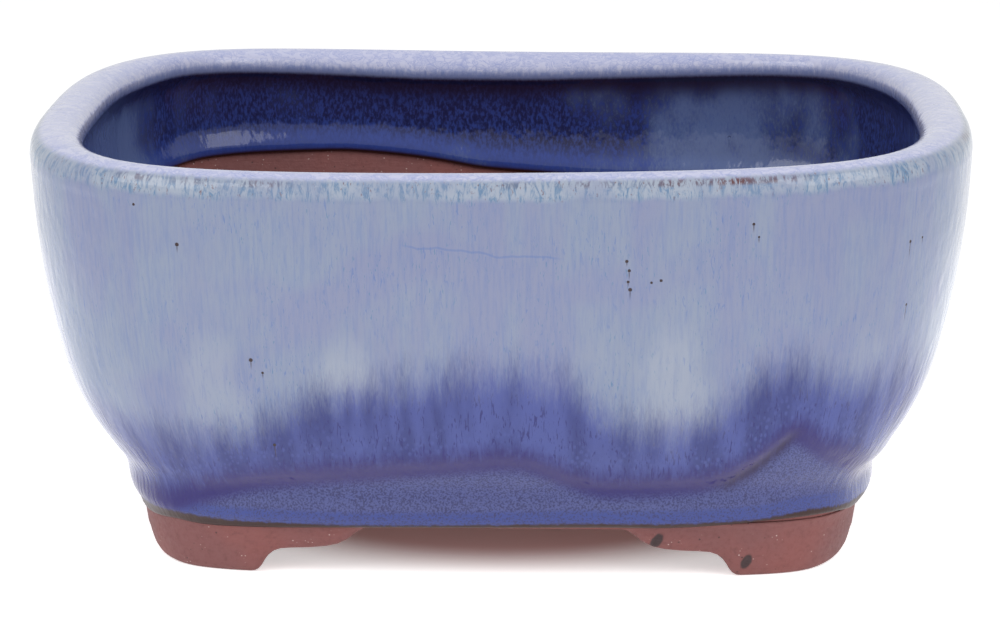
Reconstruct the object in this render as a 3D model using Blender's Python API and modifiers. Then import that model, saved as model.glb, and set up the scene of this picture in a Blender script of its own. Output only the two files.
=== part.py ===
"""Glazed bonsai pot with cloud-cut corner feet, built from the pieces a potter joins.

The frame: +X along the long side, -Y towards the front face, +Z up, and the
origin on the table at the middle of the four feet. Lengths are in metres, apart
from section points, which are millimetres: (inset from the widest outline, height).
"""

import math

import bmesh
import bpy
from mathutils import Vector

MM = 0.001

# Driving dimensions.
POT_LENGTH = 0.200
POT_DEPTH = 0.169
FOOT_HEIGHT = 0.0105
SLAB_THICKNESS = 0.0080
LIP_JOINT_HEIGHT = 0.0824
GLAZE_THICKNESS = 0.0008
JOINT_GAP = 0.0003

# The plan is a superellipse, |x/a|^m + |y/b|^n = 1: its ends bow out more than its faces.
PLAN_POWER_X = 4.95
PLAN_POWER_Y = 2.88
PLAN_POINTS = 60

# Drainage and wire-tie holes, and the feet.
DRAIN_RADIUS = 0.009
DRAIN_SPACING = 0.066
TIE_RADIUS = 0.00225
TIE_SPACING_X = 0.098
TIE_SPACING_Y = 0.058
FOOT_LENGTH = 0.0248
FOOT_WIDTH = 0.010

# The hand-made rim stands a little higher towards both ends, and leans and twists.
RIM_END_RISE = 0.00185
RIM_LEAN = 0.00025
RIM_TWIST = 0.00085
RIM_BACK_DIP = 0.00045
RIM_RISE_FROM = 0.020
RIM_RISE_TO = 0.080

SLAB_BOTTOM = FOOT_HEIGHT + JOINT_GAP
SLAB_TOP = SLAB_BOTTOM + SLAB_THICKNESS
WALL_BOTTOM = SLAB_TOP + JOINT_GAP
CLAY_SETBACK = GLAZE_THICKNESS + JOINT_GAP

# The finished surface, from the glaze's lower edge up the outside, over the lip
# and down the inside to the floor.
OUTER_FACE = [
    (21.6, 11.7),
    (19.9, 13.0),
    (19.35, 15.0),
    (19.5, 17.2),
    (18.3, 20.2),
    (15.3, 24.2),
    (11.1, 30.2),
    (7.1, 38.2),
    (4.15, 48.2),
    (2.05, 59.5),
    (0.65, 71.5),
    (0.0, 81.0),
]
LIP = [
    (0.0, 83.2),
    (0.6, 85.7),
    (2.2, 87.5),
    (4.8, 88.35),
    (7.3, 88.1),
    (9.3, 86.9),
    (10.2, 85.1),
    (9.9, 83.1),
]
INNER_GLAZED = [
    (8.4, 81.3),
    (7.1, 79.0),
    (7.1, 72.0),
    (8.2, 63.5),
]
INNER_BARE = [
    (11.2, 49.0),
    (16.6, 35.0),
    (23.6, 25.0),
    (29.4, 18.4),
]
FOOT_OUTSIDE = [
    (25.6, 0.0),
    (24.8, 0.4),
    (24.3, 1.3),
    (23.4, 4.5),
    (22.8, 8.0),
    (22.4, 10.5),
]


def clear_scene():
    for item in list(bpy.data.objects):
        bpy.data.objects.remove(item, do_unlink=True)


def collection_named(name):
    made = bpy.data.collections.new(name)
    bpy.context.scene.collection.children.link(made)
    return made


def material_named(name, colour, roughness):
    made = bpy.data.materials.new(name)
    made.use_nodes = True
    shader = made.node_tree.nodes["Principled BSDF"]
    shader.inputs["Base Color"].default_value = (*colour, 1.0)
    shader.inputs["Roughness"].default_value = roughness
    shader.inputs["Metallic"].default_value = 0.0
    return made


def plan_outline():
    """The widest outline as (x, y) points, anticlockwise from +X."""
    points = []
    for i in range(PLAN_POINTS):
        angle = 2 * math.pi * i / PLAN_POINTS
        across = math.cos(angle)
        along = math.sin(angle)
        x = math.copysign(abs(across) ** (2 / PLAN_POWER_X), across) * POT_LENGTH / 2
        y = math.copysign(abs(along) ** (2 / PLAN_POWER_Y), along) * POT_DEPTH / 2
        points.append((x, y))
    return points


def offset_line(line, distance):
    """The section line moved into the clay by this distance."""
    moved = []
    for i, (inset, height) in enumerate(line):
        before = Vector(line[max(i - 1, 0)])
        after = Vector(line[min(i + 1, len(line) - 1)])
        run = (after - before).normalized() * distance / MM
        moved.append((inset + run.y, height - run.x))
    return moved


def with_gaps(line):
    """The section line shortened at both ends by half of a joint's gap."""
    points = [Vector(p) for p in line]
    for end, neighbour in ((0, 1), (-1, -2)):
        run = (points[neighbour] - points[end]).normalized()
        points[end] += run * JOINT_GAP / MM / 2
    return [tuple(p) for p in points]


def within(line, lowest, highest):
    """The stretch of a section line between two heights, ending just where it crosses them."""
    kept = []
    for start, end in zip(line, line[1:]):
        for level in sorted((lowest / MM, highest / MM), reverse=start[1] > end[1]):
            if min(start[1], end[1]) < level < max(start[1], end[1]):
                share = (level - start[1]) / (end[1] - start[1])
                kept.append((start[0] + share * (end[0] - start[0]), level))
        if lowest < end[1] * MM < highest:
            kept.append(end)
    return kept


def at_height(inset, height):
    return (inset, height / MM)


def poly_curve(name, points):
    data = bpy.data.curves.new(name, "CURVE")
    data.dimensions = "2D"
    data.fill_mode = "NONE"
    spline = data.splines.new("POLY")
    spline.points.add(len(points) - 1)
    for target, (x, y) in zip(spline.points, points):
        target.co = (x, y, 0, 1)
    spline.use_cyclic_u = True
    return bpy.data.objects.new(name, data)


def mesh_of(item):
    """The finished mesh of an object, where the object stands, and the object removed."""
    helpers.objects.link(item)
    bpy.context.view_layer.update()
    graph = bpy.context.evaluated_depsgraph_get()
    mesh = bpy.data.meshes.new_from_object(item.evaluated_get(graph))
    mesh.transform(item.matrix_world)
    bpy.data.objects.remove(item)
    return mesh


def rim_rise(point):
    """How far the hand-made wall stands above the even one at this point."""
    along = point.x / (POT_LENGTH / 2)
    across = point.y / (POT_DEPTH / 2)
    share = (point.z - RIM_RISE_FROM) / (RIM_RISE_TO - RIM_RISE_FROM)
    rise = (RIM_END_RISE - RIM_BACK_DIP * across) * along**2 + (RIM_LEAN - RIM_TWIST * across) * along
    return rise * min(max(share, 0), 1)


def swept_mesh(name, section_points, closed):
    """The section swept round the plan; its points go clockwise round the clay."""
    section = poly_curve(name + "_section", [(x * MM, z * MM) for x, z in section_points])
    section.data.splines[0].use_cyclic_u = closed
    helpers.objects.link(section)
    path = poly_curve(name, plan_outline())
    path.data.bevel_mode = "OBJECT"
    path.data.bevel_object = section
    mesh = mesh_of(path)
    bpy.data.objects.remove(section)
    for vertex in mesh.vertices:
        vertex.co.z += rim_rise(vertex.co)
    return mesh


def finish_mesh(mesh, fill_ends=False):
    work = bmesh.new()
    work.from_mesh(mesh)
    bmesh.ops.remove_doubles(work, verts=work.verts, dist=0.01 * MM)
    if fill_ends:
        bmesh.ops.holes_fill(work, edges=work.edges, sides=PLAN_POINTS)
        bmesh.ops.recalc_face_normals(work, faces=work.faces)
    work.to_mesh(mesh)
    work.free()


def add_part(name, mesh, material):
    part = bpy.data.objects.new(name, mesh)
    pot.objects.link(part)
    mesh.name = name
    mesh.materials.clear()
    mesh.materials.append(material)
    mesh.shade_smooth()
    mesh.set_sharp_from_angle(angle=math.radians(35))
    return part


def add_cutter(part):
    cutters.objects.link(part)
    part.hide_render = True
    part.display_type = "WIRE"
    return part


def cut_with(part, cutter):
    cut = part.modifiers.new(cutter.name, "BOOLEAN")
    cut.operation = "DIFFERENCE"
    cut.solver = "EXACT"
    cut.object = cutter


def glaze_coat(name, line):
    """A thin skin of glaze, with its outer face on this line."""
    mesh = swept_mesh(name, with_gaps(line), closed=False)
    finish_mesh(mesh)
    coat = add_part(name, mesh, blue_glaze)
    skin = coat.modifiers.new("thickness", "SOLIDIFY")
    skin.thickness = GLAZE_THICKNESS
    skin.offset = -1
    skin.use_even_offset = True


def clay_ring(name, section_points):
    mesh = swept_mesh(name, section_points, closed=True)
    finish_mesh(mesh)
    return add_part(name, mesh, bare_clay)


def lip_coil():
    """The rolled lip: a coil of clay with a flat underside on top of the wall."""
    clay_ring("lip_coil", within(clay_line, LIP_JOINT_HEIGHT + JOINT_GAP / 2, 1))


def wall_shell():
    """The wall, open at both ends, standing on the slab."""
    top = LIP_JOINT_HEIGHT - JOINT_GAP / 2
    outside = within(clay_line[:lip_end], WALL_BOTTOM, top)
    inside = within(clay_line[lip_start:], WALL_BOTTOM, top)
    clay_ring("wall_shell", [*outside, *inside])


def hole_cutter(name, radius, x, y):
    bpy.ops.mesh.primitive_cylinder_add(
        vertices=32 if radius == DRAIN_RADIUS else 16,
        radius=radius,
        depth=SLAB_THICKNESS * 3,
        location=(x, y, SLAB_BOTTOM + SLAB_THICKNESS / 2),
    )
    cutter = bpy.context.object
    cutter.name = name
    for home in list(cutter.users_collection):
        home.objects.unlink(cutter)
    return add_cutter(cutter)


def base_slab():
    """The floor, a pressed slab with two drainage holes and four wire-tie holes."""
    lower = at_height(clay_line[0][0], SLAB_BOTTOM)
    edge = within(clay_line[:lip_end], SLAB_BOTTOM, SLAB_TOP)
    mesh = swept_mesh("base_slab", [lower, clay_line[0], *edge], closed=False)
    finish_mesh(mesh, fill_ends=True)
    slab = add_part("base_slab", mesh, bare_clay)
    for side in (-1, 1):
        cut_with(slab, hole_cutter("drain", DRAIN_RADIUS, side * DRAIN_SPACING / 2, 0))
        for end in (-1, 1):
            x = side * TIE_SPACING_X / 2
            y = end * TIE_SPACING_Y / 2
            cut_with(slab, hole_cutter("wire_tie", TIE_RADIUS, x, y))


def arc_points(centre, radius, start, end, steps):
    """Points along an arc, from one angle in degrees to another."""
    points = []
    for i in range(steps + 1):
        angle = math.radians(start + (end - start) * i / steps)
        points.append((centre[0] + radius * math.cos(angle), centre[1] + radius * math.sin(angle)))
    return points


def cloud_arch(name, pot_side, turn):
    """The cut between two feet: a rounded toe, a hollow, a step and a slope up to the slab."""
    toe_end = (pot_side / 2 - FOOT_LENGTH) / MM - FOOT_OUTSIDE[0][0]
    toe = arc_points((toe_end, 2.5), 2.5, 270, 180, 5)
    hollow = arc_points((toe_end - 5.1, 2.5), 2.6, 0, 90, 5)
    step = [(toe_end - 10.0, 5.3), (toe_end - 15.3, 5.8)]
    slope = [(toe_end - 18.0, 6.5), (toe_end - 20.1, 8.1), (toe_end - 21.8, 9.7), (toe_end - 24.0, 10.8)]
    half = [(toe_end, -2.0), *toe, *hollow, *step, *slope, (toe_end - 24.0, 12.0)]
    outline = half + [(-x, z) for x, z in reversed(half)]
    arch = poly_curve(name, [(x * MM, z * MM) for x, z in outline])
    arch.data.fill_mode = "BOTH"
    arch.data.extrude = POT_LENGTH
    arch.rotation_euler = (math.radians(90), 0, turn)
    mesh = mesh_of(arch)
    finish_mesh(mesh)
    return add_cutter(bpy.data.objects.new(name, mesh))


def corner_feet():
    """A foot ring cut through on all four sides and parted into its corner feet."""
    back = FOOT_OUTSIDE[-1][0] + FOOT_WIDTH / MM
    section = [*FOOT_OUTSIDE, at_height(back, FOOT_HEIGHT), (back, 0.7), (back - 0.7, 0.0)]
    ring = clay_ring("foot_ring", section)
    cut_with(ring, cloud_arch("front_arch", POT_LENGTH, 0))
    cut_with(ring, cloud_arch("side_arch", POT_DEPTH, math.radians(90)))
    pot.objects.unlink(ring)
    whole = mesh_of(ring)
    for name, side, end in (
        ("foot_front_left", -1, -1),
        ("foot_front_right", 1, -1),
        ("foot_back_left", -1, 1),
        ("foot_back_right", 1, 1),
    ):
        work = bmesh.new()
        work.from_mesh(whole)
        others = [v for v in work.verts if v.co.x * side < 0 or v.co.y * end < 0]
        bmesh.ops.delete(work, geom=others, context="VERTS")
        corner = bpy.data.meshes.new(name)
        work.to_mesh(corner)
        work.free()
        add_part(name, corner, bare_clay)


clear_scene()
pot = collection_named("bonsai_pot")
cutters = collection_named("cutters")
helpers = collection_named("helpers")
blue_glaze = material_named("blue_glaze", (0.27, 0.36, 0.62), 0.12)
bare_clay = material_named("bare_clay", (0.22, 0.085, 0.07), 0.75)

finished_line = [*OUTER_FACE, *LIP, *INNER_GLAZED, *INNER_BARE]
clay_line = offset_line(finished_line, CLAY_SETBACK)
lip_start = len(OUTER_FACE)
lip_end = lip_start + len(LIP)
glaze_end = lip_end + len(INNER_GLAZED)

glaze_coat("outer_glaze", finished_line[: lip_start + 1])
glaze_coat("lip_glaze", finished_line[lip_start : lip_end + 1])
glaze_coat("inner_glaze", finished_line[lip_end:glaze_end])
lip_coil()
wall_shell()
base_slab()
corner_feet()
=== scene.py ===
import math

import bmesh
import bpy
import numpy as np
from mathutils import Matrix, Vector


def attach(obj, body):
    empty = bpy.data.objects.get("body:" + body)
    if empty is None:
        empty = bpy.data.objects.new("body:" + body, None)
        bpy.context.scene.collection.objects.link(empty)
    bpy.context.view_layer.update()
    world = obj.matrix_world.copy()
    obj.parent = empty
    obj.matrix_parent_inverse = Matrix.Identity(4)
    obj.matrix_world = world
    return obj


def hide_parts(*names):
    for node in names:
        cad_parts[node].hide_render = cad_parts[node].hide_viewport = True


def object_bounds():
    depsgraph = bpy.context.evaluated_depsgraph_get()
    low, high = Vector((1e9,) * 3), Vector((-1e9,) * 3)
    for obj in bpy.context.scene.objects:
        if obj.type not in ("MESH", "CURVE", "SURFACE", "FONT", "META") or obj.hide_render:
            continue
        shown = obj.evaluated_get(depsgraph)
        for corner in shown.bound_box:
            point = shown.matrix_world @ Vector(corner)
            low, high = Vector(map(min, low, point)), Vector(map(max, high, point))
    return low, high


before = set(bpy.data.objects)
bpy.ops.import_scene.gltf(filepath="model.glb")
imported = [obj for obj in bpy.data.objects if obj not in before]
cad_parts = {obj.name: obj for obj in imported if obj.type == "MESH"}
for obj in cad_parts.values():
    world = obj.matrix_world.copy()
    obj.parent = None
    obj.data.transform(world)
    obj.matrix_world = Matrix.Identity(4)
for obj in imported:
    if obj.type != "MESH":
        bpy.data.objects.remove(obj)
cadLow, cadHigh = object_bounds()
mm = 0.001
print("frame loaded")

# Seen from above the outline is a superellipse. The rim rises a little towards both
# ends, leans and twists, and the lip is wider across the ends than along the faces.
potPlan = dict(
    halfLength=cadHigh.x / mm,
    halfDepth=cadHigh.y / mm,
    powerX=4.95,
    powerY=2.88,
    endRise=1.75,
    backDip=0.45,
    lean=0.25,
    twist=0.85,
    riseFrom=20.0,
    riseTo=80.0,
    faceNarrow=0.9,
    endWiden=2.0,
    fineSteps=40000,
    roundSteps=720,
    # How far the inner side of the lip hangs down, as (distance round, millimetres).
    droop=[
        (0, 0.0), (190, 0.0), (222, -0.6), (238, -0.9), (262, -0.7), (286, 0.0), (305, 0.5), (316, 0.9),
        (-300, 1.0), (-288, 0.6), (-276, 0.2), (-250, -0.4), (-232, -0.6), (-214, 0.0), (-100, 0.0),
    ],
)

# Section points are (inset from the widest outline, height), in millimetres, from
# the foot up the outside, over the rolled lip and down the inner wall to the floor.
potSection = dict(
    outside=[
        (22.6, 4.0), (22.25, 6.4), (21.95, 8.4), (21.6, 10.2), (20.95, 11.6), (20.1, 12.8), (19.55, 14.2),
        (19.45, 16.0), (19.35, 17.8), (18.4, 20.1), (15.4, 24.1), (11.2, 30.1), (7.25, 38.2), (4.3, 48.2),
        (2.4, 58.2), (1.05, 68.3), (0.42, 76.3), (0.15, 81.0),
    ],
    lip=[
        (0.15, 83.3), (0.75, 85.7), (2.3, 87.35), (4.9, 88.15), (7.3, 87.9), (9.2, 86.8), (10.1, 85.0),
        (9.8, 83.1),
    ],
    inside=[
        (8.5, 81.4), (7.3, 79.2), (6.9, 75.8), (7.1, 70.0), (8.2, 63.5), (11.2, 49.0), (16.6, 35.0),
        (23.0, 25.6), (31.5, 18.6),
    ],
)


def planPoints(columns):
    # Columns round the widest outline, starting at the middle of the front. Pass how many
    # evenly spaced ones to make, or their distances round.
    angle = np.linspace(-0.5 * math.pi, 1.5 * math.pi, potPlan["fineSteps"] + 1)
    powerX = potPlan["powerX"]
    powerY = potPlan["powerY"]
    x = np.sign(np.cos(angle)) * np.abs(np.cos(angle)) ** (2 / powerX) * potPlan["halfLength"]
    y = np.sign(np.sin(angle)) * np.abs(np.sin(angle)) ** (2 / powerY) * potPlan["halfDepth"]
    travel = np.append(0, np.cumsum(np.hypot(np.diff(x), np.diff(y))))
    girth = travel[-1]
    if isinstance(columns, int):
        columns = np.arange(columns) * girth / columns
    x = np.interp(columns, travel, x, period=girth)
    y = np.interp(columns, travel, y, period=girth)
    nx = np.sign(x) * np.abs(x / potPlan["halfLength"]) ** (powerX - 1) * powerX / potPlan["halfLength"]
    ny = np.sign(y) * np.abs(y / potPlan["halfDepth"]) ** (powerY - 1) * powerY / potPlan["halfDepth"]
    length = np.hypot(nx, ny)
    around = np.where(columns > girth / 2, columns - girth, columns)
    return dict(x=x, y=y, nx=nx / length, ny=ny / length, around=around, girth=girth)


def smoothLine(points, step=0.2):
    # A centripetal curve through the section points, resampled at an even step.
    knots = np.array([points[0], *points, points[-1]], float)
    knots[0] = 2 * knots[1] - knots[2]
    knots[-1] = 2 * knots[-2] - knots[-3]
    pieces = []
    for i in range(1, len(knots) - 2):
        a, b, c, d = knots[i - 1 : i + 3]
        t = np.linspace(0, 1, 40, endpoint=False)[:, None]
        gap = [math.sqrt(np.hypot(*(q - p))) for p, q in ((a, b), (b, c), (c, d))]
        leave = (b - a) / gap[0] - (c - a) / (gap[0] + gap[1]) + (c - b) / gap[1]
        arrive = (c - b) / gap[1] - (d - b) / (gap[1] + gap[2]) + (d - c) / gap[2]
        leave = leave * gap[1]
        arrive = arrive * gap[1]
        cubic = 2 * (b - c) + leave + arrive
        square = 3 * (c - b) - 2 * leave - arrive
        pieces.append(cubic * t**3 + square * t**2 + leave * t + b)
    line = np.concatenate([*pieces, knots[-2:-1]])
    travel = np.append(0, np.cumsum(np.hypot(*np.diff(line, axis=0).T)))
    even = np.arange(0, travel[-1], step)
    inset = np.interp(even, travel, line[:, 0])
    height = np.interp(even, travel, line[:, 1])
    slope = np.gradient(np.stack([inset, height], 1), axis=0)
    slope /= np.linalg.norm(slope, axis=1)[:, None]
    top = int(np.argmax(height))
    return dict(travel=even, inset=inset, height=height, outX=-slope[:, 1], outZ=slope[:, 0], top=top)


def ease(value, start, end):
    share = np.clip((value - start) / (end - start), 0, 1)
    return share * share * (3 - 2 * share)


def rimRise(x, y, z):
    along = x / potPlan["halfLength"]
    across = y / potPlan["halfDepth"]
    share = np.clip((z - potPlan["riseFrom"]) / (potPlan["riseTo"] - potPlan["riseFrom"]), 0, 1)
    bow = (potPlan["endRise"] - potPlan["backDip"] * across) * along**2
    return (bow + (potPlan["lean"] - potPlan["twist"] * across) * along) * share


def onWall(plan, line, travel, proud):
    # Points on the wall: a column of the plan, a distance along the section, and how proud.
    inset = np.interp(travel, line["travel"], line["inset"])
    height = np.interp(travel, line["travel"], line["height"])
    inset = inset + np.interp(travel, line["travel"], line["outX"]) * proud
    z = height + np.interp(travel, line["travel"], line["outZ"]) * proud
    crown = line["travel"][line["top"]]
    widen = potPlan["endWiden"] * plan["nx"] ** 2 - potPlan["faceNarrow"]
    inset = inset + widen[:, None] * ease(travel, crown - 5, crown + 4)
    droop = goingRound(plan, potPlan["droop"], 4.0)[:, None]
    z = z - droop * ease(travel, crown - 1, crown + 5) * ease(travel, crown + 30, crown + 12)
    x = plan["x"][:, None] - plan["nx"][:, None] * inset
    y = plan["y"][:, None] - plan["ny"][:, None] * inset
    return np.stack([x, y, z + rimRise(x, y, z)], 2)


def sweptMesh(name, points, marks, ring=True):
    # A grid closed round its section: columns go round the pot, and may join up as a ring.
    columns, rows = points.shape[:2]
    mesh = bpy.data.meshes.new(name)
    index = np.arange(columns * rows).reshape(columns, rows)
    here = index if ring else index[:-1]
    right = np.roll(index, -1, 0) if ring else index[1:]
    faces = np.stack([here, right, np.roll(right, -1, 1), np.roll(here, -1, 1)], 2).reshape(-1, 4).tolist()
    if not ring:
        faces += [index[0].tolist(), index[-1, ::-1].tolist()]
    mesh.from_pydata((points.reshape(-1, 3) * mm).tolist(), [], faces)
    for mark, values in marks.items():
        if values.ndim == 3:
            layer = mesh.attributes.new(mark, "FLOAT_VECTOR", "POINT")
            layer.data.foreach_set("vector", values.astype(np.float32).ravel())
        else:
            layer = mesh.attributes.new(mark, "FLOAT", "POINT")
            layer.data.foreach_set("value", values.astype(np.float32).ravel())
    mesh.shade_smooth()
    mesh.update()
    piece = bpy.data.objects.new(name, mesh)
    bpy.context.collection.objects.link(piece)
    return piece


def goingRound(plan, keys, soften=3.0):
    # A value that changes round the pot, from (distance round, value) keys, softened.
    gap = plan["girth"] / potPlan["roundSteps"]
    even = np.arange(potPlan["roundSteps"]) * gap
    where = np.array([k[0] for k in keys], float)
    what = np.array([k[1] for k in keys], float)
    values = np.interp(even, where, what, period=plan["girth"])
    spread = int(3 * soften / gap) + 1
    weight = bump(np.arange(-spread, spread + 1) * gap, soften)
    padded = np.concatenate([values[-spread:], values, values[:spread]])
    values = np.convolve(padded, weight / weight.sum(), "valid")
    return np.interp(plan["around"], even, values, period=plan["girth"])


def bump(distance, width):
    return np.exp(-0.5 * (distance / width) ** 2)


def apart(around, girth, where):
    # Signed distance round the pot from a place, the short way.
    return (around - where + girth / 2) % girth - girth / 2


# Materials are made with two small classes: one for a value in a node tree, so that
# values can be added, subtracted and multiplied, and one for the tree itself.
class Value:
    def __init__(self, finish, socket):
        self.finish = finish
        self.socket = socket

    def __add__(self, other):
        return self.finish.maths("ADD", self, other)

    def __radd__(self, other):
        return self.finish.maths("ADD", other, self)

    def __sub__(self, other):
        return self.finish.maths("SUBTRACT", self, other)

    def __rsub__(self, other):
        return self.finish.maths("SUBTRACT", other, self)

    def __mul__(self, other):
        return self.finish.maths("MULTIPLY", self, other)

    def __rmul__(self, other):
        return self.finish.maths("MULTIPLY", other, self)


class Finish:
    def __init__(self, name):
        self.material = bpy.data.materials.new(name)
        self.material.use_nodes = True
        self.tree = self.material.node_tree
        self.shader = self.tree.nodes["Principled BSDF"]

    def feed(self, target, value):
        if isinstance(value, Value):
            self.tree.links.new(value.socket, target)
        else:
            target.default_value = value

    def node(self, kind, settings, sockets, output=0):
        made = self.tree.nodes.new(kind)
        for key, value in settings.items():
            setattr(made, key, value)
        for key, value in sockets.items():
            self.feed(made.inputs[key], value)
        return Value(self, made.outputs[output])

    def maths(self, operation, first, second):
        return self.node("ShaderNodeMath", {"operation": operation}, {0: first, 1: second})

    def most(self, first, second):
        return self.maths("MAXIMUM", first, second)

    def size(self, value):
        return self.maths("ABSOLUTE", value, 0.0)

    def mark(self, name, output=2):
        return self.node("ShaderNodeAttribute", {"attribute_name": name}, {}, output)

    def fade(self, value, start, end, low=0.0, high=1.0):
        ends = {0: value, 1: start, 2: end, 3: low, 4: high}
        return self.node("ShaderNodeMapRange", {"interpolation_type": "SMOOTHSTEP"}, ends)

    def stretch(self, place, scale):
        return self.node("ShaderNodeVectorMath", {"operation": "MULTIPLY"}, {0: place, 1: scale})

    def noise(self, place, scale, detail=2.0, rough=0.5, twist=0.0):
        sockets = {"Vector": self.stretch(place, scale), "Scale": 1.0, "Detail": detail}
        return self.node("ShaderNodeTexNoise", {}, {**sockets, "Roughness": rough, "Distortion": twist})

    def cells(self, place, scale, feature="F1", output=0):
        sockets = {"Vector": self.stretch(place, scale), "Scale": 1.0}
        return self.node("ShaderNodeTexVoronoi", {"feature": feature}, sockets, output)

    def blend(self, share, first, second, how="MIX"):
        settings = {"data_type": "RGBA", "blend_type": how}
        return self.node("ShaderNodeMix", settings, {0: share, 6: first, 7: second}, 2)

    def finish(self, colour, rough, relief, depth, ior):
        self.feed(self.shader.inputs["Base Color"], colour)
        self.feed(self.shader.inputs["Roughness"], rough)
        normal = self.node("ShaderNodeBump", {}, {"Strength": 1.0, "Distance": depth, "Height": relief})
        self.feed(self.shader.inputs["Normal"], normal)
        self.shader.inputs["IOR"].default_value = ior
        return self.material


def tint(red, green, blue):
    # A screen colour, 0 to 255, as the linear colour that a shader takes.
    def linear(part):
        part /= 255
        return part / 12.92 if part <= 0.04045 else ((part + 0.055) / 1.055) ** 2.4

    return (linear(red), linear(green), linear(blue), 1.0)


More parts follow.
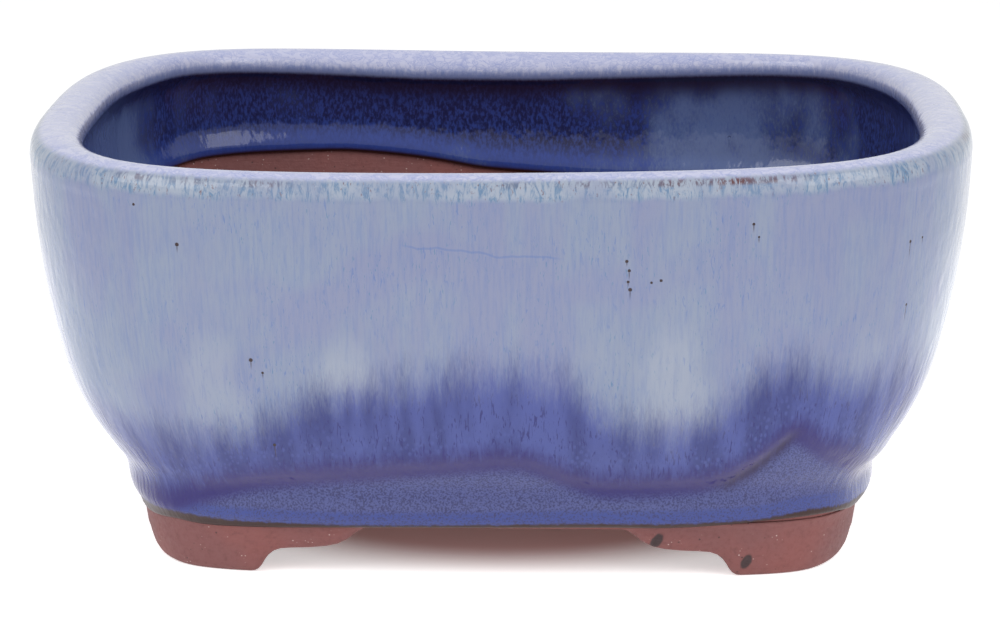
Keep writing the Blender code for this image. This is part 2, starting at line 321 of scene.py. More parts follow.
# The glaze: one coat over the wall and the lip and a little way down the inside.
glaze = dict(
    columns=640,
    rows=150,
    backRows=60,
    edgeRows=[0.0, 0.05, 0.15, 0.3, 0.5, 0.75, 1.0, 1.4],
    thickness=0.8,
    edgeRound=1.0,
    innerRollProud=1.1,
    innerRollWidth=1.7,
    innerRollFrom=1.9,
    # The thick front of the run, and the hollow under it, as (height above the line, width, proud).
    runFront=(2.6, 2.2, 0.36),
    runHollow=(-1.0, 1.8, -0.2),
    creaseWidth=1.3,
    creaseDeep=0.25,
    # Where the glaze stops above the bare foot, as (distance round, height).
    lowerEdge=[
        (-150, 10.0), (-125, 9.2), (-109, 9.3), (-95, 10.0), (-80, 10.6), (-67, 10.1), (-51, 10.2),
        (-40, 10.4), (-20, 10.7), (0, 10.8), (23, 11.1), (37, 11.0), (47, 11.6), (55, 12.3), (62, 12.8),
        (70, 13.0), (81, 13.1), (95, 12.6), (107, 11.2), (130, 10.4), (160, 11.2), (200, 11.8), (240, 11.2),
        (280, 12.2), (310, 11.8), (-300, 11.2), (-250, 12.0), (-205, 10.8),
    ],
    # Where the blue starts above the dark edge.
    blueLow=[
        (-150, 11.6), (-110, 12.4), (-92, 12.7), (-77, 12.8), (-66, 12.5), (-58, 12.1), (-44, 11.9),
        (-32, 11.5), (-15, 11.6), (1, 12.0), (18, 12.5), (35, 12.4), (47, 12.9), (60, 13.6), (69, 14.7),
        (80, 14.9), (93, 14.4), (111, 14.0), (135, 12.2), (160, 12.9), (200, 13.2), (240, 12.6), (280, 13.9),
        (310, 13.0), (-300, 12.4), (-250, 13.4), (-205, 12.4),
    ],
    # Where the thick top coat stopped running.
    flowLine=[
        (-112, 14.0), (-92, 14.0), (-78, 15.0), (-66, 17.6), (-51.5, 21.0), (-42, 22.2), (-34, 23.2),
        (-24, 24.1), (-13, 25.3), (-3, 26.5), (2, 27.0), (6.5, 27.0), (11.5, 24.6), (17, 21.9), (22, 20.2),
        (32, 20.6), (43, 21.6), (49, 23.4), (54, 26.0), (59, 30.6), (63.3, 34.2), (67, 31.8), (73.5, 28.3),
        (85, 25.4), (100, 21.0), (128, 19.0), (150, 23.5), (168, 27.0), (185, 21.0), (206, 17.0),
        (228, 18.0), (254, 24.0), (276, 29.0), (292, 22.0), (309, 19.0), (-306, 21.0), (-288, 26.0),
        (-272, 30.5), (-258, 23.5), (-238, 17.5), (-212, 18.5), (-188, 26.0), (-166, 22.0), (-142, 17.5),
    ],
    # Where the pale coat turns to cobalt.
    cobaltTop=[
        (-112, 33.0), (-95, 31.8), (-77, 32.2), (-62, 31.8), (-52, 33.6), (-45.5, 36.7), (-39, 40.3),
        (-31, 43.4), (-22, 44.5), (-8, 47.4), (2, 48.9), (12, 48.1), (20, 41.9), (26, 36.2), (34, 34.6),
        (42, 36.1), (50.5, 42.7), (56.5, 48.8), (63, 48.6), (70, 45.9), (79, 44.0), (88, 44.3), (104, 43.0),
        (130, 38.0), (154, 47.0), (178, 40.0), (201, 33.0), (228, 36.0), (254, 47.0), (276, 49.0),
        (299, 38.0), (-310, 36.0), (-286, 46.0), (-266, 49.0), (-244, 36.0), (-216, 33.0), (-190, 46.0),
        (-164, 42.0), (-140, 34.0),
    ],
    # Pale runs, as (distance round, top, bottom, half width at the bottom, strength).
    paleRuns=[
        (-57, 60, 34, 10.0, 0.55), (-29.6, 59, 43, 8.0, 0.95), (22, 60, 49, 5.0, 0.2),
        (36.5, 62, 36, 10.0, 0.85),
        (78, 60, 45, 8.0, 0.35), (-80, 54, 34, 9.0, 0.3), (122, 62, 42, 9.0, 0.6), (165, 68, 48, 10.0, 0.8),
        (202, 58, 35, 10.0, 0.7), (240, 64, 40, 9.0, 0.6), (279, 68, 50, 9.0, 0.8), (308, 64, 38, 10.0, 0.7),
        (-280, 66, 50, 10.0, 0.8), (-244, 62, 37, 9.0, 0.6), (-202, 67, 42, 10.0, 0.8),
        (-165, 64, 44, 9.0, 0.6),
        (-131, 60, 36, 9.0, 0.7),
    ],
    # Iron-brown breaks along the lip, as (distance round, half length, strength).
    lipBreaks=[
        (-72, 5, 0.5), (-60, 5, 0.4), (-45, 5, 0.6), (5, 4, 0.3), (20, 6, 0.5), (37, 8, 0.8), (48, 7, 1.0),
        (57, 6, 0.7), (124, 10, 0.6), (180, 12, 0.7), (-202, 10, 0.6), (-144, 9, 0.5),
    ],
    # A thin brown line along the top of the lip, at the back, as (distance round, strength).
    lipScratch=[(0, 0), (222, 0), (230, 0.8), (246, 1.0), (272, 0.9), (282, 0), (-100, 0)],
    # The dark crease where two runs met, beside the right foot: (distance round, height).
    crease=[(45, 20.4), (50, 21.8), (55, 25.0), (59, 28.6), (64, 33.4)],
    # Pinholes with the drip below each, as (distance round, height, radius, drip length).
    pinholes=[
        (-62.5, 73.6, 0.42, 2.0), (-71.6, 81.0, 0.3, 0.0), (-48.3, 50.1, 0.42, 2.4), (-46.0, 47.4, 0.28, 1.4),
        (26.8, 71.1, 0.34, 1.2), (27.3, 69.2, 0.32, 2.2), (27.1, 66.9, 0.3, 1.2), (27.5, 65.3, 0.4, 2.4),
        (31.7, 66.7, 0.26, 0.4), (33.6, 67.1, 0.3, 0.0), (51.7, 77.9, 0.3, 2.0), (52.8, 75.3, 0.22, 1.4),
        (91.7, 71.2, 0.26, 1.4), (87.6, 71.0, 0.34, 4.0), (88.8, 58.2, 0.28, 4.0), (-44.7, 31.0, 0.36, 4.5),
        (154.0, 64.0, 0.4, 3.0), (270.0, 68.0, 0.4, 3.0), (-196.0, 60.0, 0.4, 3.0), (-270.0, 72.0, 0.36, 2.4),
    ],
    # Where the inside glaze stops, and the bare wall starts.
    innerEdge=[
        (0, 60.5), (60, 60.5), (110, 59.5), (160, 58.5), (206, 56.5), (248, 57.5), (295, 58.5), (308, 59.0),
        (-314, 60.5), (-304, 62.3), (-294, 63.5), (-282, 64.3), (-256, 63.6), (-240, 63.0), (-212, 60.5),
        (-165, 61.5), (-114, 60.0), (-62, 61.0),
    ],
    # How pale and slaty the inside glaze is.
    insidePale=[
        (0, 0.4), (100, 0.4), (150, 0.5), (195, 0.4), (218, 0.35), (240, 0.4), (256, 0.65), (277, 0.85),
        (290, 0.7), (303, 0.45), (315, 0.2), (-300, 0.1), (-270, 0.1), (-245, 0.15), (-228, 0.25),
        (-210, 0.85), (-180, 0.9), (-150, 0.6), (-100, 0.4),
    ],
)


def coatEdges(plan, line):
    # Where the coat starts and stops along the section, for each column.
    top = line["top"]
    lower = goingRound(plan, glaze["lowerEdge"], 3.0)
    inner = goingRound(plan, glaze["innerEdge"], 2.5)
    start = np.interp(lower, line["height"][:top], line["travel"][:top])
    end = np.interp(-inner, -line["height"][top:], line["travel"][top:])
    return start, end


def glazeCoat(line):
    plan = planPoints(glaze["columns"])
    start, end = coatEdges(plan, line)
    crown = line["travel"][line["top"]]
    near = np.array(glaze["edgeRows"])
    middle = np.linspace(0, 1, glaze["rows"] + 2)[None, 1:-1]
    first = start[:, None] + near[None]
    last = end[:, None] - near[None, ::-1]
    between = first[:, -1:] + (last[:, :1] - first[:, -1:]) * middle
    travel = np.concatenate([first, between, last], 1)
    fromStart = travel - start[:, None]
    fromEnd = end[:, None] - travel

    height = np.interp(travel, line["travel"], line["height"])
    outside = travel < crown
    around = np.repeat(plan["around"][:, None], travel.shape[1], 1)
    flow = goingRound(plan, glaze["flowLine"], 1.4)[:, None]
    cobalt = goingRound(plan, glaze["cobaltTop"], 3.0)[:, None]
    blueLow = goingRound(plan, glaze["blueLow"], 2.0)[:, None]
    aboveFlow = height - flow

    # The relief: rounded edges, the thick front of the run, and the roll inside.
    startRound = np.sqrt(1 - (1 - np.clip(fromStart / glaze["edgeRound"], 0, 1)) ** 2)
    endRound = np.sqrt(1 - (1 - np.clip(fromEnd / glaze["edgeRound"], 0, 1)) ** 2)
    proud = (startRound * endRound - 1) * glaze["thickness"] * 0.94
    for level, width, raised in (glaze["runFront"], glaze["runHollow"]):
        proud += np.where(outside, raised * bump(aboveFlow - level, width), 0)
    roll = glaze["innerRollProud"] * bump(fromEnd - glaze["innerRollFrom"], glaze["innerRollWidth"])
    proud += np.where(outside, 0, roll)
    waves = 0.10 * np.sin(around * 0.11 + height * 0.07) * np.sin(around * 0.043 + 1.3)
    waves += 0.07 * np.sin(around * 0.23 + 2.0) * np.sin(height * 0.16 + around * 0.02)
    proud += np.where(height < 82, waves - 0.1, 0) * np.clip(fromStart / 6, 0, 1)
    creaseAt = np.array(glaze["crease"])
    creaseHigh = np.interp(around, creaseAt[:, 0], creaseAt[:, 1])
    creaseSide = ease(around, 44, 52) * ease(around, 66, 61)
    crease = np.where(outside, bump(height - creaseHigh, glaze["creaseWidth"]) * creaseSide, 0)
    proud -= glaze["creaseDeep"] * crease

    paleRun = np.zeros_like(travel)
    for where, high, low, width, strength in glaze["paleRuns"]:
        side = apart(around, plan["girth"], where)
        side = side + 0.6 * np.sin(height * 0.31 + where) + 0.4 * np.sin(height * 0.73 + where * 2)
        down = np.clip((high - height) / (high - low), 0, 1)
        reach = width * (0.30 + 0.70 * down**0.9)
        shape = ease(np.abs(side), reach * 1.25, reach * 0.35)
        shape = shape * ease(height, high, high - 12) * ease(height, low - 3, low + 3.5)
        paleRun = np.maximum(paleRun, strength * shape)
    lipBreak = np.zeros_like(travel)
    for where, reach, strength in glaze["lipBreaks"]:
        lipBreak = np.maximum(lipBreak, strength * bump(apart(around, plan["girth"], where), reach * 0.6))

    front = onWall(plan, line, travel, proud)
    back = np.linspace(1, 0, glaze["backRows"])[None]
    backTravel = start[:, None] + 0.1 + (end - start - 0.2)[:, None] * back
    rear = onWall(plan, line, backTravel, -glaze["thickness"])

    x0 = np.repeat(plan["x"][:, None], travel.shape[1], 1)
    y0 = np.repeat(plan["y"][:, None], travel.shape[1], 1)
    insidePale = np.repeat(goingRound(plan, glaze["insidePale"], 3.0)[:, None], travel.shape[1], 1)
    marks = dict(
        wrap=np.stack([x0, y0, travel], 2),
        around=around,
        height=height,
        aboveFlow=np.where(outside, aboveFlow, 60),
        aboveCobalt=np.where(outside, height - cobalt, 60),
        aboveEdge=np.where(outside, height - blueLow, 60),
        fromInnerEdge=fromEnd,
        overLip=travel - crown,
        paleRun=np.where(outside, paleRun, 0),
        lipBreak=lipBreak,
        crease=crease,
        lipScratch=np.repeat(goingRound(plan, glaze["lipScratch"], 2.0)[:, None], travel.shape[1], 1),
        insidePale=insidePale,
    )
    # The hidden back of the coat takes the marks of its last row.
    for name, values in marks.items():
        tail = np.repeat(values[:, -1:], glaze["backRows"], 1)
        marks[name] = np.concatenate([values, tail], 1)
    piece = sweptMesh("glaze_coat", np.concatenate([front, rear], 1), marks)
    piece.data.materials.append(blueGlaze())
    return piece


glazeColours = dict(
    pale=tint(120, 129, 149),
    paleViolet=tint(115, 119, 148),
    dash=tint(76, 100, 150),
    teal=tint(70, 108, 140),
    run=tint(134, 141, 156),
    cobalt=tint(43, 50, 105),
    cobaltCell=tint(63, 72, 130),
    cobaltStreak=tint(32, 32, 92),
    pool=tint(30, 16, 88),
    under=tint(68, 74, 124),
    underDark=tint(44, 46, 90),
    beadBright=tint(50, 62, 124),
    edge=tint(42, 17, 12),
    lipPale=tint(170, 172, 194),
    lipLine=tint(112, 124, 172),
    lipBlue=tint(98, 114, 160),
    lipTeal=tint(74, 106, 138),
    lipBrown=tint(96, 72, 76),
    lipMilk=tint(138, 146, 160),
    iron=tint(84, 50, 50),
    navy=tint(38, 46, 96),
    navyDarkAndLipShade=tint(24, 25, 60),
    navyBlueAndRollLight=tint(44, 62, 130),
    slate=tint(78, 94, 136),
    pit=tint(46, 30, 32),
    crease=tint(38, 28, 66),
)


def blueGlaze():
    made = Finish("blueGlaze")
    c = glazeColours
    wrap = made.mark("wrap", 1)
    around = made.mark("around")
    height = made.mark("height")
    aboveFlow = made.mark("aboveFlow")
    aboveEdge = made.mark("aboveEdge")
    fromInnerEdge = made.mark("fromInnerEdge")
    overLip = made.mark("overLip")

    # The pale coat, with soft upright bands and short blue dashes.
    bands = made.noise(wrap, (0.08, 0.08, 0.012), 2.0)
    clouds = made.noise(wrap, (0.045, 0.045, 0.05), 2.0)
    fine = made.noise(wrap, (1.5, 1.5, 0.16), 3.0, 0.6)
    dashes = made.noise(wrap, (1.9, 1.9, 0.42), 2.0, 0.55, 0.5)
    patches = made.noise(wrap, (0.07, 0.07, 0.05), 2.0)
    inPatch = made.fade(patches, 0.38, 0.65, 0.2, 1.0)
    tone = made.most(made.fade(bands, 0.42, 0.66, 0.0, 0.7), made.fade(clouds, 0.44, 0.66, 0.0, 0.7))
    colour = made.blend(tone, c["pale"], c["paleViolet"])
    colour = made.blend(made.fade(fine, 0.35, 0.75, 0.0, 0.30), colour, c["dash"])
    colour = made.blend(made.mark("paleRun") * made.fade(fine, 0.75, 0.45, 0.6, 1.0), colour, c["run"])
    colour = made.blend(made.fade(dashes, 0.60, 0.72, 0.0, 0.55) * inPatch, colour, c["dash"])
    flecks = made.noise(wrap, (2.6, 2.6, 0.7), 1.0)
    colour = made.blend(made.fade(flecks, 0.66, 0.76, 0.0, 0.6) * inPatch, colour, c["teal"])

    # A thin wavy line of blue across the upper front.
    wobble = made.noise(wrap, (0.16, 0.16, 0.0), 2.0)
    lineAt = made.size(height + around * 0.097 - 72.9 + (wobble - 0.5) * 3)
    lineEnds = made.fade(made.size(around + 2), 17, 13)
    lineShare = made.fade(lineAt, 0.36, 0.08, 0.0, 0.4) * lineEnds
    colour = made.blend(lineShare, colour, c["dash"])

    # Cobalt below, with dark streaks, and paler curdled cells close to the flow line.
    streaks = made.noise(wrap, (0.8, 0.8, 0.14), 4.0, 0.68, 1.0)
    broad = made.noise(wrap, (0.16, 0.16, 0.03), 2.0)
    thin = made.noise(wrap, (2.3, 2.3, 0.34), 2.0, 0.55, 1.0)
    edgeShift = (streaks - 0.5) * 7 + (thin - 0.5) * 7 + (broad - 0.5) * 8
    depth = made.fade(made.mark("aboveCobalt") + edgeShift, 7.5, -7.0)
    curdle = made.fade(made.cells(wrap, (0.95, 0.95, 0.62)), 0.5, 0.2)
    curdle = curdle * made.fade(aboveFlow + (broad - 0.5) * 10, 14.0, 5.0) * 0.75
    cobalt = made.blend(made.fade(broad, 0.35, 0.65), c["cobalt"], c["cobaltCell"])
    cobalt = made.blend(curdle, cobalt, c["cobaltCell"])
    dark = made.fade(thin, 0.57, 0.67) * made.fade(aboveFlow + (broad - 0.5) * 12, 26.0, 14.0, 0.0, 0.85)
    cobalt = made.blend(dark, cobalt, c["cobaltStreak"])
    colour = made.blend(depth, colour, cobalt)

    # The dark pool where the top coat stopped, and the thin speckled coat under it.
    speckle = made.noise(wrap, (2.4, 2.4, 2.4), 2.0, 0.6)
    pool = made.fade(aboveFlow + (streaks - 0.5) * 8, 6.6, 0.8)
    colour = made.blend(pool * 0.92, colour, c["pool"])
    under = made.blend(made.fade(speckle, 0.42, 0.62), c["under"], c["underDark"])
    bead = made.fade(aboveEdge + (speckle - 0.5) * 2, 3.6, 2.2) * made.fade(speckle, 0.66, 0.42)
    under = made.blend(bead, under, c["beadBright"])
    colour = made.blend(made.fade(aboveFlow + (speckle - 0.5) * 1.5, -0.4, -4.0), colour, under)
    colour = made.blend(made.mark("crease") * made.fade(streaks, 0.3, 0.6, 0.7, 1.0), colour, c["crease"])
    edgeNoise = made.noise(wrap, (0.7, 0.7, 0.9), 3.0, 0.6)
    colour = made.blend(made.fade(aboveEdge + (edgeNoise - 0.5) * 1.4, 0.35, -0.35), colour, c["edge"])

    # The lip: blotchy teal on its outer curve, milky on top with fine scale lines.
    lipStreaks = made.noise(wrap, (0.9, 0.9, 0.26), 5.0, 0.72, 0.6)
    lipBroad = made.noise(wrap, (0.10, 0.10, 0.10), 2.0)
    teal = made.blend(made.fade(lipStreaks, 0.44, 0.64, 0.0, 0.85), c["lipMilk"], c["lipTeal"])
    lipSpecks = made.noise(wrap, (1.6, 1.6, 0.7), 3.0, 0.7)
    teal = made.blend(made.fade(lipSpecks, 0.60, 0.70, 0.0, 0.8), teal, c["lipBrown"])
    bandLow = made.fade(overLip + (lipStreaks - 0.5) * 3.0 + (lipBroad - 0.5) * 2, -8.6, -7.0)
    colour = made.blend(bandLow * made.fade(lipBroad, 0.35, 0.6, 0.5, 1.0), colour, teal)
    brown = made.mark("lipBreak") * made.fade(overLip, -5.9, -5.0) * made.fade(overLip, -3.2, -4.2)
    colour = made.blend(brown * made.fade(lipStreaks, 0.46, 0.56), colour, c["iron"])
    marble = made.noise(wrap, (0.32, 0.32, 0.40), 4.0, 0.6, 1.4)
    scales = made.cells(wrap, (0.50, 0.50, 0.75), "DISTANCE_TO_EDGE")
    scaleLines = made.fade(scales, 0.10, 0.01, 0.0, 0.45) * made.fade(lipBroad, 0.42, 0.6)
    vein = made.fade(made.size(marble - 0.5), 0.04, 0.0, 0.0, 0.5)
    milky = made.blend(made.fade(marble, 0.45, 0.70, 0.0, 0.45), c["lipPale"], c["lipLine"])
    milky = made.blend(made.most(scaleLines, vein), milky, c["lipLine"])
    colour = made.blend(made.fade(overLip + (lipStreaks - 0.5) * 2.4, -4.4, -2.6), colour, milky)
    lineAt = made.size(overLip + 2.2 + (lipBroad - 0.5) * 2)
    colour = made.blend(made.mark("lipScratch") * made.fade(lineAt, 0.45, 0.15), colour, c["iron"])
    innerBand = made.fade(overLip + (lipStreaks - 0.5) * 4, 5.0, 7.6, 0.0, 0.85)
    colour = made.blend(innerBand, colour, c["lipBlue"])

    # Inside: navy with upright mottling, paler and slaty in places. The lighter band along its lower roll is
    # painted light, and the darkening just under the lip is painted shade.
    mottle = made.noise(wrap, (1.7, 1.7, 0.8), 4.0, 0.6)
    rolling = made.noise(wrap, (0.09, 0.09, 0.06), 2.0)
    # The same dark navy serves both as mottling and as the painted shade under the lip.
    inside = made.blend(made.fade(mottle, 0.42, 0.62, 0.0, 0.85), c["navy"], c["navyDarkAndLipShade"])
    inside = made.blend(made.fade(mottle, 0.52, 0.36, 0.0, 0.55), inside, c["navyBlueAndRollLight"])
    # Painted light: a lighter blue band along the lower roll, where the inner wall turns up towards the
    # light. The same blue also serves as mottling above.
    rollLightShare = made.fade(fromInnerEdge + (mottle - 0.5) * 6, 9.0, 3.0, 0.0, 0.75)
    inside = made.blend(rollLightShare, inside, c["navyBlueAndRollLight"])
    paleShare = made.fade(made.mark("insidePale") + (rolling - 0.5) * 1.2 + (mottle - 0.5) * 0.8, 0.3, 0.9)
    inside = made.blend(paleShare * made.fade(overLip, 9.0, 15.0, 0.35, 0.95), inside, c["slate"])
    # Painted shade: the navy is darkened just under the lip, where the lip overhangs the inner wall.
    inside = made.blend(made.fade(overLip + (rolling - 0.5) * 8, 17.0, 9.5, 0.0, 0.8), inside, c["navyDarkAndLipShade"])
    colour = made.blend(made.fade(overLip + (mottle - 0.5) * 0.5, 7.5, 8.8), colour, inside)
    colour = made.blend(made.fade(fromInnerEdge, 0.9, 0.2), colour, c["edge"])

    # Pinholes, each with the thin drip that ran from it.
    pits = 0.0
    for where, high, radius, drip in glaze["pinholes"]:
        side = made.size(around - where)
        down = high - height
        spot = made.fade(side * side + down * down, radius * radius * 1.3, radius * radius * 0.5)
        if drip:
            trail = made.fade(side, 0.18, 0.05) * made.fade(down, drip, drip * 0.3)
            trail = trail * made.fade(down, -0.1, 0.1)
            spot = made.most(spot, trail * 0.6)
        pits = spot if pits == 0.0 else made.most(pits, spot)
    onOutside = made.fade(overLip, -2.0, -4.0)
    colour = made.blend(pits * onOutside, colour, c["pit"])

    # The dark edge is a little drier, and the whole surface has a faint orange peel.
    rough = made.fade(aboveEdge, 1.5, -0.4, 0.12, 0.36)
    peel = made.noise(wrap, (0.35, 0.35, 0.22), 2.0)
    return made.finish(colour, rough, peel + speckle * 0.04 - pits * 0.6, 0.00022, 1.41)


section = smoothLine([*potSection["outside"], *potSection["lip"], *potSection["inside"]])
coat = glazeCoat(section)
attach(coat, "root")
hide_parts("outer_glaze", "lip_glaze", "inner_glaze")
print("glaze coat made")

# The bare clay: the wall with its lip, the slab, and four corner feet.
clay = dict(
    columns=320,
    wallFrom=11.4,
    bareDepth=0.76,
    coveredDepth=1.5,
    wallRows=150,
    base=tint(111, 68, 67),
    red=tint(119, 69, 66),
    dark=tint(92, 58, 57),
    pale=tint(178, 156, 150),
    ironSpot=tint(58, 36, 36),
    smudge=tint(44, 34, 36),
)


def bareClay(name, smudges=()):
    made = Finish(name)
    place = made.node("ShaderNodeTexCoord", {}, {}, 3)
    tone = made.noise(place, (60, 60, 60), 3.0)
    grain = made.noise(place, (900, 900, 900), 3.0, 0.65)
    scrape = made.noise(place, (120, 120, 1400), 2.0)
    colour = made.blend(made.fade(tone, 0.35, 0.65), clay["base"], clay["red"])
    colour = made.blend(made.fade(grain, 0.50, 0.75, 0.0, 0.45), colour, clay["dark"])
    specks = made.cells(place, (1100, 1100, 1100))
    few = made.fade(made.noise(place, (300, 300, 300), 1.0), 0.56, 0.66)
    colour = made.blend(made.fade(specks, 0.22, 0.12, 0.0, 0.8) * few, colour, clay["pale"])
    spots = made.cells(place, (420, 420, 420))
    colour = made.blend(made.fade(spots, 0.12, 0.06, 0.0, 0.8), colour, clay["ironSpot"])
    for centre, lean, size in smudges:
        moved = made.node("ShaderNodeVectorMath", {"operation": "SUBTRACT"}, {0: place, 1: centre})
        turned = made.node("ShaderNodeVectorRotate", {"rotation_type": "Y_AXIS"}, {0: moved, "Angle": lean})
        reach = made.node("ShaderNodeVectorMath", {"operation": "LENGTH"}, {0: made.stretch(turned, size)}, 1)
        patch = made.fade(reach + (grain - 0.5) * 0.5, 1.15, 0.75, 0.0, 0.92)
        colour = made.blend(patch, colour, clay["smudge"])
    relief = grain * 0.6 + scrape * 0.4
    return made.finish(colour, made.fade(grain, 0.3, 0.7, 0.62, 0.78), relief, 0.0002, 1.45)


def clayWall(line):
    # The wall is set back under the glaze, and flush where it is bare.
    plan = planPoints(clay["columns"])
    start, end = coatEdges(plan, line)
    bottom = np.interp(clay["wallFrom"], line["height"][: line["top"]], line["travel"][: line["top"]])
    travel = bottom + (line["travel"][-1] - bottom) * np.linspace(0, 1, clay["wallRows"])
    travel = np.repeat(travel[None], clay["columns"], 0)
    covered = ease(travel, start[:, None] + 1.5, start[:, None] + 5)
    covered = covered * ease(travel, end[:, None] - 1.5, end[:, None] - 5)
    proud = -clay["bareDepth"] - (clay["coveredDepth"] - clay["bareDepth"]) * covered
    return sweptMesh("clay_wall", onWall(plan, line, travel, proud), {})


wall = clayWall(section)
wall.data.materials.append(bareClay("wallClay"))
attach(wall, "root")
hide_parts("wall_shell", "lip_coil")
print("clay wall made")

slab = dict(
    bottom=10.7,
    top=18.8,
    inset=22.55,
    rounding=0.3,
    outlinePoints=240,
    # Holes as (x, y, radius).
    holes=[
        (-33, 0, 9.0), (33, 0, 9.0), (-49, -29, 2.25), (-49, 29, 2.25), (49, -29, 2.25), (49, 29, 2.25),
    ],
)


def slabPiece():
    # A filled outline with holes, whose edges are all slightly rounded over.
    outline = bpy.data.curves.new("base_floor", "CURVE")
    outline.dimensions = "2D"
    outline.fill_mode = "BOTH"
    plan = planPoints(slab["outlinePoints"])
    loops = [np.stack([plan["x"] - plan["nx"] * slab["inset"], plan["y"] - plan["ny"] * slab["inset"]], 1)]
    turn = np.linspace(0, 2 * math.pi, 49)[:-1]
    for x, y, radius in slab["holes"]:
        loops.append(np.stack([x + radius * np.cos(turn), y - radius * np.sin(turn)], 1))
    for loop in loops:
        spline = outline.splines.new("POLY")
        spline.points.add(len(loop) - 1)
        spline.use_cyclic_u = True
        for point, (x, y) in zip(spline.points, loop):
            point.co = (x * mm, y * mm, 0, 1)
    outline.extrude = (slab["top"] - slab["bottom"]) / 2 * mm - slab["rounding"] * mm
    outline.bevel_depth = slab["rounding"] * mm
    outline.bevel_resolution = 3
    outline.offset = -slab["rounding"] * mm
    shape = bpy.data.objects.new("base_floor_outline", outline)
    bpy.context.collection.objects.link(shape)
    graph = bpy.context.evaluated_depsgraph_get()
    mesh = bpy.data.meshes.new_from_object(shape.evaluated_get(graph))
    bpy.data.objects.remove(shape)
    for vertex in mesh.vertices:
        vertex.co.z += (slab["top"] + slab["bottom"]) / 2 * mm
    mesh.shade_smooth()
    mesh.set_sharp_from_angle(angle=math.radians(40))
    piece = bpy.data.objects.new("base_floor", mesh)
    bpy.context.collection.objects.link(piece)
    return piece


floorPiece = slabPiece()
floorPiece.data.materials.append(bareClay("slabClay"))
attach(floorPiece, "root")
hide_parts("base_slab")
print("slab made")

feet = dict(
    toeFromEnd=50.4,
    top=12.6,
    columnStep=0.35,
    innerInset=31.6,
    # Where the foot's own curve meets the wall above it, and the arch height that ends a foot.
    joinHeight=4.6,
    archTop=10.7,
    middleInset=23,
    wallStep=5,
    wallClear=0.03,
    # The cut between two feet, as (distance past the toe towards the middle, height).
    arch=[
        (-1.2, 0.0), (-0.3, 0.12), (0.5, 0.55), (1.2, 1.4), (1.8, 2.5), (2.6, 3.6), (3.7, 4.5), (5.2, 5.05),
        (7.5, 5.25), (11.0, 5.4), (14.6, 5.75), (17.0, 6.3), (19.0, 7.3), (21.0, 8.9), (23.0, 10.2),
        (24.6, 10.75), (40.0, 10.75),
    ],
    # Two smudges of dark glaze on the right front foot: centre, lean and stretch.
    smudges=[
        ((0.0334, -0.0620, 0.0080), -0.55, (900.0, 90.0, 480.0)),
        ((0.0519, -0.0610, 0.0034), -0.45, (950.0, 90.0, 520.0)),
    ],
    # The outer side from the ground up, as (inset, height).
    outside=[(25.4, 0.05), (24.75, 0.45), (24.3, 1.2), (23.85, 2.6), (23.45, 4.2)],
)


def archHeight(x, y):
    steps = np.array(feet["arch"])
    alongX = potPlan["halfLength"] - feet["toeFromEnd"] - np.abs(x)
    alongY = potPlan["halfDepth"] - feet["toeFromEnd"] - np.abs(y)
    highX = np.interp(alongX, steps[:, 0], steps[:, 1])
    highY = np.interp(alongY, steps[:, 0], steps[:, 1])
    return np.maximum(highX, highY)


def footPiece(name, sideX, sideY, line):
    quarter = planPoints(4)["girth"] / 4
    middle = {(1, -1): 0.5, (1, 1): 1.5, (-1, 1): 2.5, (-1, -1): 3.5}[(sideX, sideY)] * quarter
    columns = np.arange(middle - quarter, middle + quarter, feet["columnStep"])
    plan = planPoints(columns % (4 * quarter))

    # The outer side follows the bare clay under the glaze, and then the foot's own curve.
    low = np.searchsorted(line["height"][: line["top"]], feet["joinHeight"])
    high = np.searchsorted(line["height"][: line["top"]], feet["top"])
    setBack = clay["bareDepth"] - feet["wallClear"]
    upper = [
        (line["inset"][i] - line["outX"][i] * setBack, line["height"][i])
        for i in range(low, high, feet["wallStep"])
    ]
    outer = np.array([*feet["outside"], *upper])
    top = feet["top"]
    innerInset = feet["innerInset"]
    inner = np.array([
        (innerInset, top),
        (innerInset, 1.0),
        (innerInset - 0.3, 0.3),
        (innerInset - 1.0, 0.05),
    ])
    rim = np.concatenate([outer, inner])
    inset = np.repeat(rim[None, :, 0], len(columns), 0)
    level = np.repeat(rim[None, :, 1], len(columns), 0)
    x = plan["x"][:, None] - plan["nx"][:, None] * inset
    y = plan["y"][:, None] - plan["ny"][:, None] * inset
    # Squeeze the whole section up towards its top where the arch is cut.
    cut = archHeight(x, y)
    z = top - (top - level) * (top - cut) / top
    middleX = plan["x"] - plan["nx"] * feet["middleInset"]
    middleY = plan["y"] - plan["ny"] * feet["middleInset"]
    keep = archHeight(middleX, middleY) < feet["archTop"]
    keep &= (plan["x"] * sideX > 0) & (plan["y"] * sideY > 0)
    return sweptMesh(name, np.stack([x, y, z], 2)[keep], {}, ring=False)


for name, sideX, sideY in (
    ("foot_front_left", -1, -1),
    ("foot_front_right", 1, -1),
    ("foot_back_left", -1, 1),
    ("foot_back_right", 1, 1),
):
    foot = footPiece("look_" + name, sideX, sideY, section)
    smudges = feet["smudges"] if name == "foot_front_right" else ()
    foot.data.materials.append(bareClay("clay_" + name, smudges))
    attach(foot, "root")
    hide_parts(name)
print("feet made")

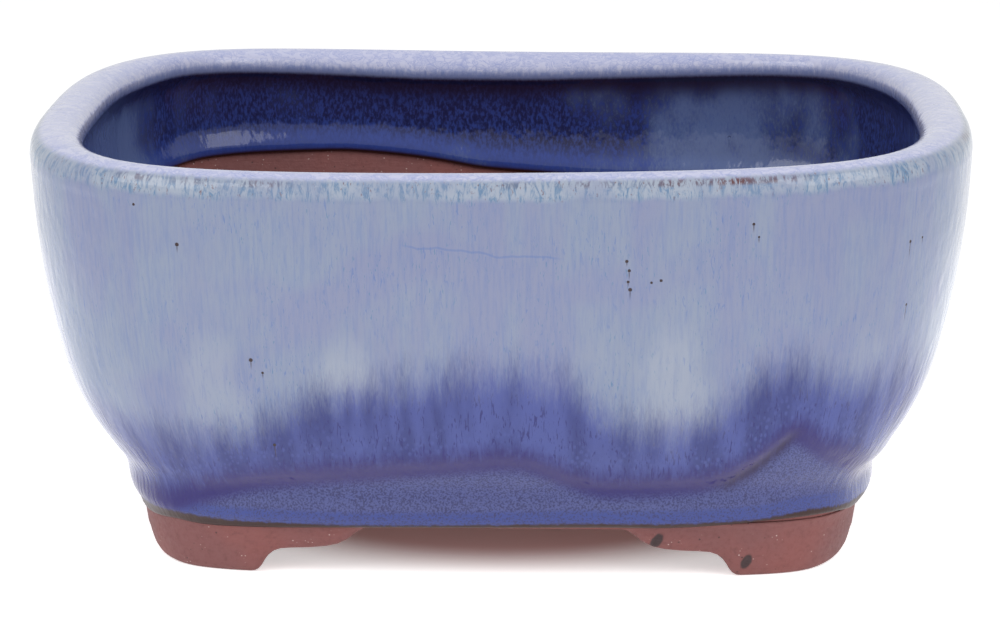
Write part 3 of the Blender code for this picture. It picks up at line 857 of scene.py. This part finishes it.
# A pale floor that glows softly round the pot, a painted light that washes out its shadow, under a white sky
# and two soft boxes.
studio = dict(
    floorSize=12.0,
    floorTint=(0.93, 0.93, 0.93, 1.0),
    underBounceTint=(0.93, 0.74, 0.76, 1.0),
    # The glow fades in from under the pot, where it and the floor's colour are painted pink as bounce light
    # from the clay, to just outside its feet.
    # Painted light: how strongly the floor glows near the pot, washing out its shadow beside the feet.
    floorGlow=0.50,
    underBounceGlow=(0.16, 0.10, 0.09, 1.0),
    glowShape=(12.0, 14.8, 0.0),
    glowFrom=0.55,
    glowTo=0.90,
    glowFadeFrom=2.4,
    glowFadeTo=5.0,
    skyStrength=0.86,
    # The boxes stand to the left and the right, and both look at the pot.
    boxPlace=(0.9, -0.75, 1.1),
    boxAim=(0, 0, 0.05),
    boxPower=10.5,
    boxSize=1.1,
)


def plainFloor():
    mesh = bpy.data.meshes.new("floor")
    work = bmesh.new()
    bmesh.ops.create_grid(work, x_segments=1, y_segments=1, size=studio["floorSize"] / 2)
    work.to_mesh(mesh)
    work.free()
    floor = bpy.data.objects.new("floor", mesh)
    bpy.context.collection.objects.link(floor)
    made = Finish("floorPaint")
    place = made.stretch(made.node("ShaderNodeTexCoord", {}, {}, 3), studio["glowShape"])
    reach = made.node("ShaderNodeVectorMath", {"operation": "LENGTH"}, {0: place}, 1)
    # Painted bounce light: under the pot the floor glows dimly and is tinted pink, as if lit by the clay.
    outer = made.fade(reach, studio["glowFrom"], studio["glowTo"])
    glow = made.blend(outer, studio["underBounceGlow"], (1.0, 1.0, 1.0, 1.0))
    # Painted light: the glow is strongest near the pot and fades out farther away.
    away = made.fade(reach, studio["glowFadeFrom"], studio["glowFadeTo"])
    made.feed(made.shader.inputs["Emission Color"], made.blend(away, glow, (0.0, 0.0, 0.0, 1.0)))
    made.shader.inputs["Emission Strength"].default_value = studio["floorGlow"]
    made.feed(made.shader.inputs["Base Color"], made.blend(outer, studio["underBounceTint"], studio["floorTint"]))
    made.shader.inputs["Roughness"].default_value = 1.0
    made.shader.inputs["Specular IOR Level"].default_value = 0.0
    mesh.materials.append(made.material)


def softBox(name, side):
    place = (side * studio["boxPlace"][0], *studio["boxPlace"][1:])
    light = bpy.data.lights.new(name, "AREA")
    light.shape = "SQUARE"
    light.size = studio["boxSize"]
    light.energy = studio["boxPower"]
    box = bpy.data.objects.new(name, light)
    box.location = place
    box.rotation_euler = (Vector(studio["boxAim"]) - Vector(place)).to_track_quat("-Z", "Y").to_euler()
    bpy.context.collection.objects.link(box)


plainFloor()
softBox("leftBox", -1)
softBox("rightBox", 1)
world = bpy.data.worlds.new("studioSky")
world.use_nodes = True
world.node_tree.nodes["Background"].inputs["Color"].default_value = (1.0, 1.0, 1.0, 1.0)
world.node_tree.nodes["Background"].inputs["Strength"].default_value = studio["skyStrength"]
bpy.context.scene.world = world
bpy.context.scene.view_settings.view_transform = "Standard"

cameraPlace = dict(
    azimuth=1.892,
    elevation=12.502,
    distance=0.839,
    aim=(-0.0009, 0.0, 0.0431),
    lens=137.5,
)


def studioCamera():
    turn = math.radians(cameraPlace["azimuth"])
    tilt = math.radians(cameraPlace["elevation"])
    away = Vector((math.sin(turn) * math.cos(tilt), -math.cos(turn) * math.cos(tilt), math.sin(tilt)))
    camera = bpy.data.objects.new("camera", bpy.data.cameras.new("camera"))
    camera.data.lens = cameraPlace["lens"]
    camera.data.sensor_width = 36.0
    camera.location = Vector(cameraPlace["aim"]) + away * cameraPlace["distance"]
    camera.rotation_euler = (math.radians(90) - tilt, 0, turn)
    bpy.context.collection.objects.link(camera)
    bpy.context.scene.camera = camera


studioCamera()
print("studio ready")
